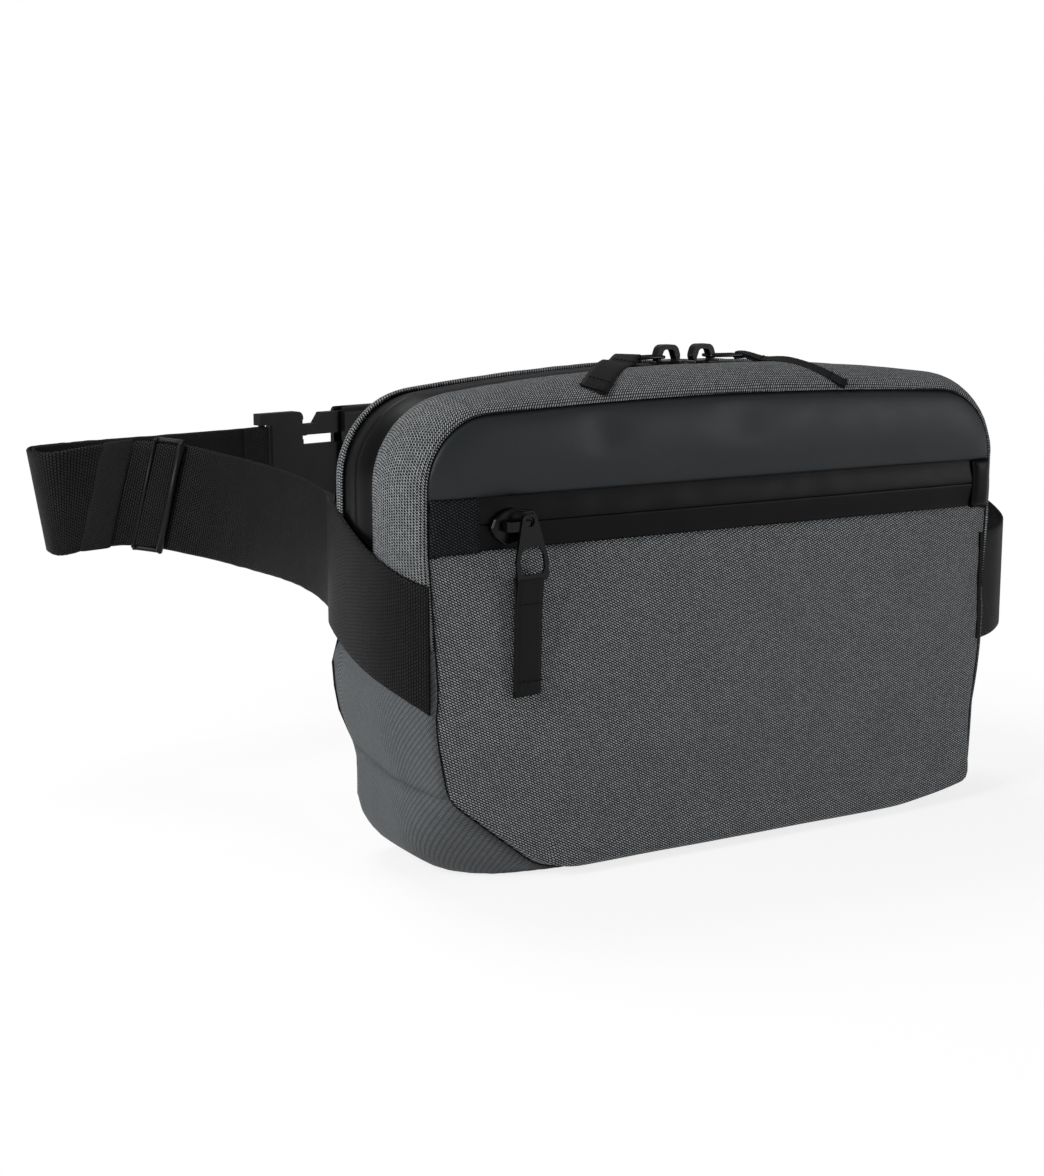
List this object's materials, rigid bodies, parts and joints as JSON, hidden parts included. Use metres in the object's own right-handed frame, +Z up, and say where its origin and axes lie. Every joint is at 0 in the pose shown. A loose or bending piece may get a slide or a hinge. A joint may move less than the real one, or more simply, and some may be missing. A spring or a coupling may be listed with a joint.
{
  "type": "waist pack",
  "caption": "Soft zipped waist pack with a front pocket, a zip over the top and an adjustable webbing waist belt closed by a side-release buckle.",
  "frame": {"origin": "middle of the base, on the surface it stands on", "axes": "+X across the bag, to the right as seen from the front; +Y from the front panel to the padded back and out round the belt; +Z up"},
  "size_m": [0.4071, 0.3389, 0.2104],
  "materials": {
    "bag_cloth": "coarse plain-woven polyester with a grey fleck",
    "coated_cloth": "smooth coated fine weave, matt",
    "foam": "closed-cell foam",
    "lining_cloth": "plain lining cloth",
    "coated_zip_tape": "film-coated zip tape, satin",
    "zip_coil": "nylon coil",
    "binding_tape": "woven binding tape",
    "ribbon": "narrow ribbed ribbon",
    "black_wire": "black enamelled wire",
    "black_metal": "black enamelled zinc",
    "webbing": "heavy ribbed nylon webbing",
    "elastic": "ribbed elastic",
    "moulded_plastic": "moulded acetal, fine texture"
  },
  "bodies": {
    "bag": {"back_binding": "binding_tape", "back_foam_pad": "foam", "back_lining": "lining_cloth", "back_panel": "bag_cloth", "belt_left_webbing": "webbing", "belt_right_webbing": "webbing", "bottom_panel": "bag_cloth", "buckle_female": "moulded_plastic", "buckle_male": "moulded_plastic", "front_gusset": "bag_cloth", "front_lower_panel": "bag_cloth", "front_piping": "binding_tape", "front_upper_panel": "coated_cloth", "front_zip_coil_lower": "zip_coil", "front_zip_coil_upper": "zip_coil", "front_zip_end_tab": "coated_zip_tape", "front_zip_garage_tab": "binding_tape", "front_zip_tape_lower": "coated_zip_tape", "front_zip_tape_upper": "coated_zip_tape", "main_zip_coil_front": "zip_coil", "main_zip_coil_rear": "zip_coil", "main_zip_tape_front": "coated_zip_tape", "main_zip_tape_rear": "coated_zip_tape", "pocket_divider": "lining_cloth", "rear_gusset": "bag_cloth", "side_panel_left": "bag_cloth", "side_panel_right": "bag_cloth"},
    "front_slider": {"front_zip_slider": "black_metal"},
    "front_puller": {"front_zip_puller": "black_metal"},
    "front_ribbon": {"front_zip_ribbon": "ribbon"},
    "main_slider_left": {"main_zip_slider_left": "black_metal"},
    "main_link_left": {"main_zip_link_left": "black_wire"},
    "main_ribbon_left": {"main_zip_ribbon_left": "ribbon"},
    "main_slider_right": {"main_zip_slider_right": "black_metal"},
    "main_link_right": {"main_zip_link_right": "black_wire"},
    "main_ribbon_right": {"main_zip_ribbon_right": "ribbon"},
    "triglide": {"belt_triglide": "moulded_plastic"},
    "keeper": {"belt_keeper": "elastic"},
    "arm_upper": {"buckle_arm_upper": "moulded_plastic"},
    "arm_lower": {"buckle_arm_lower": "moulded_plastic"}
  },
  "joints": [
    {"name": "front_zip_slide", "type": "slide", "parent": "bag", "child": "front_slider", "axis": [1, 0, 0], "range_m": [0, 0.222]},
    {"name": "front_puller_swing", "type": "hinge", "parent": "front_slider", "child": "front_puller", "pos_m": [-0.1035, -0.047, 0.1468], "axis": [-1, 0, 0], "range_deg": [0, 120]},
    {"name": "front_ribbon_swing", "type": "hinge", "parent": "front_puller", "child": "front_ribbon", "pos_m": [-0.1035, -0.047, 0.123], "axis": [-1, 0, 0], "range_deg": [0, 60]},
    {"name": "main_slider_left_run", "type": "hinge", "parent": "bag", "child": "main_slider_left", "pos_m": [0, 0.0015, -0.7415], "axis": [0, -1, 0], "range_deg": [0, 5.5]},
    {"name": "main_link_left_swing", "type": "hinge", "parent": "main_slider_left", "child": "main_link_left", "pos_m": [-0.00661, 0.0015, 0.20588], "axis": [0, 1, 0], "range_deg": [0, 75]},
    {"name": "main_ribbon_left_swing", "type": "hinge", "parent": "main_link_left", "child": "main_ribbon_left", "pos_m": [-0.02261, 0.0015, 0.20583], "axis": [0, 1, 0], "range_deg": [0, 35]},
    {"name": "main_slider_right_run", "type": "hinge", "parent": "bag", "child": "main_slider_right", "pos_m": [0, 0.0015, -0.7415], "axis": [0, 1, 0], "range_deg": [0, 4.8]},
    {"name": "main_link_right_swing", "type": "hinge", "parent": "main_slider_right", "child": "main_link_right", "pos_m": [0.01916, 0.0015, 0.20571], "axis": [0, -1, 0], "range_deg": [0, 75]},
    {"name": "main_ribbon_right_swing", "type": "hinge", "parent": "main_link_right", "child": "main_ribbon_right", "pos_m": [0.03516, 0.0015, 0.20545], "axis": [0, -1, 0], "range_deg": [0, 35]},
    {"name": "triglide_slide", "type": "slide", "parent": "bag", "child": "triglide", "axis": [-0.7293, 0.6842, 0], "range_m": [-0.004, 0.005]},
    {"name": "keeper_slide", "type": "slide", "parent": "bag", "child": "keeper", "axis": [-0.9649, 0.2625, 0], "range_m": [-0.002, 0.014]},
    {"name": "buckle_arm_upper_squeeze", "type": "hinge", "parent": "bag", "child": "arm_upper", "pos_m": [-0.05255, 0.2708, 0.154], "axis": [-0.204, 0.979, 0], "range_deg": [0, 7], "stiffness_Nm_per_rad": 0.3},
    {"name": "buckle_arm_lower_squeeze", "type": "hinge", "parent": "bag", "child": "arm_lower", "pos_m": [-0.05255, 0.2708, 0.11], "axis": [0.204, -0.979, 0], "range_deg": [0, 7], "stiffness_Nm_per_rad": 0.3}
  ],
  "couplings": [
    {"joint": "buckle_arm_lower_squeeze", "follows": "buckle_arm_upper_squeeze", "ratio": 1}
  ]
}
